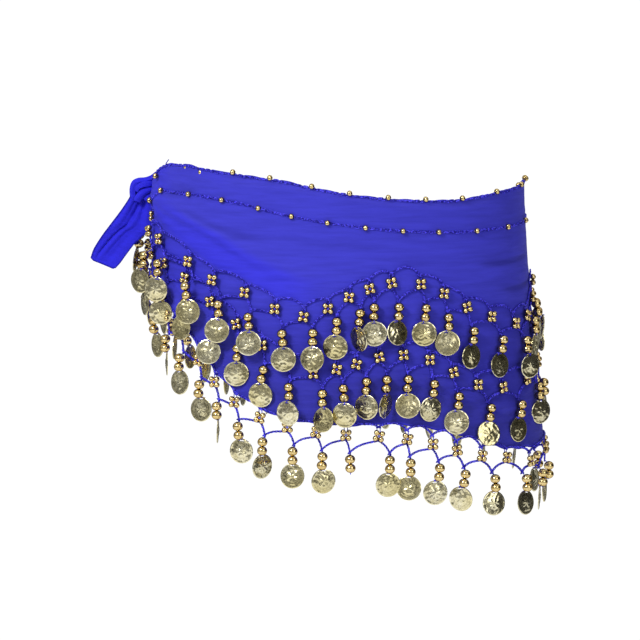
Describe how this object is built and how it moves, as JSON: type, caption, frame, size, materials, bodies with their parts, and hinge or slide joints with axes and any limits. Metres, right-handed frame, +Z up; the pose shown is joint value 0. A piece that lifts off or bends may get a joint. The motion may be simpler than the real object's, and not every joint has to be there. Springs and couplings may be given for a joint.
{
  "type": "belly dance hip scarf",
  "caption": "Chiffon hip scarf worn round the hips and knotted at one side, with rows of crochet net hung with beads and pierced coins.",
  "frame": {"origin": "middle of the open ring that the scarf makes round the hips, level with its top edge at the sides", "axes": "+Z up, the wearer faces -Y, and the knot is at the wearer's right hip, on -X"},
  "size_m": [0.3773, 0.2602, 0.2816],
  "materials": {
    "chiffon": "single layer of crinkled royal blue chiffon, soft sheen",
    "tie": "gathered royal blue chiffon, doubled, deeper blue",
    "crochet": "royal blue crochet chain of shiny thread",
    "bead": "small round antique gold metallic beads, polished",
    "coin": "thin stamped pale champagne coins, raised rim, polished with dark hollows"
  },
  "bodies": {
    "root": {"cloth_front": "chiffon", "cloth_back": "chiffon", "upper_net": "crochet", "middle_net": "crochet", "hem_net": "crochet", "knot": "tie", "tie_end_long": "tie", "tie_end_short": "tie"}
  },
  "joints": []
}
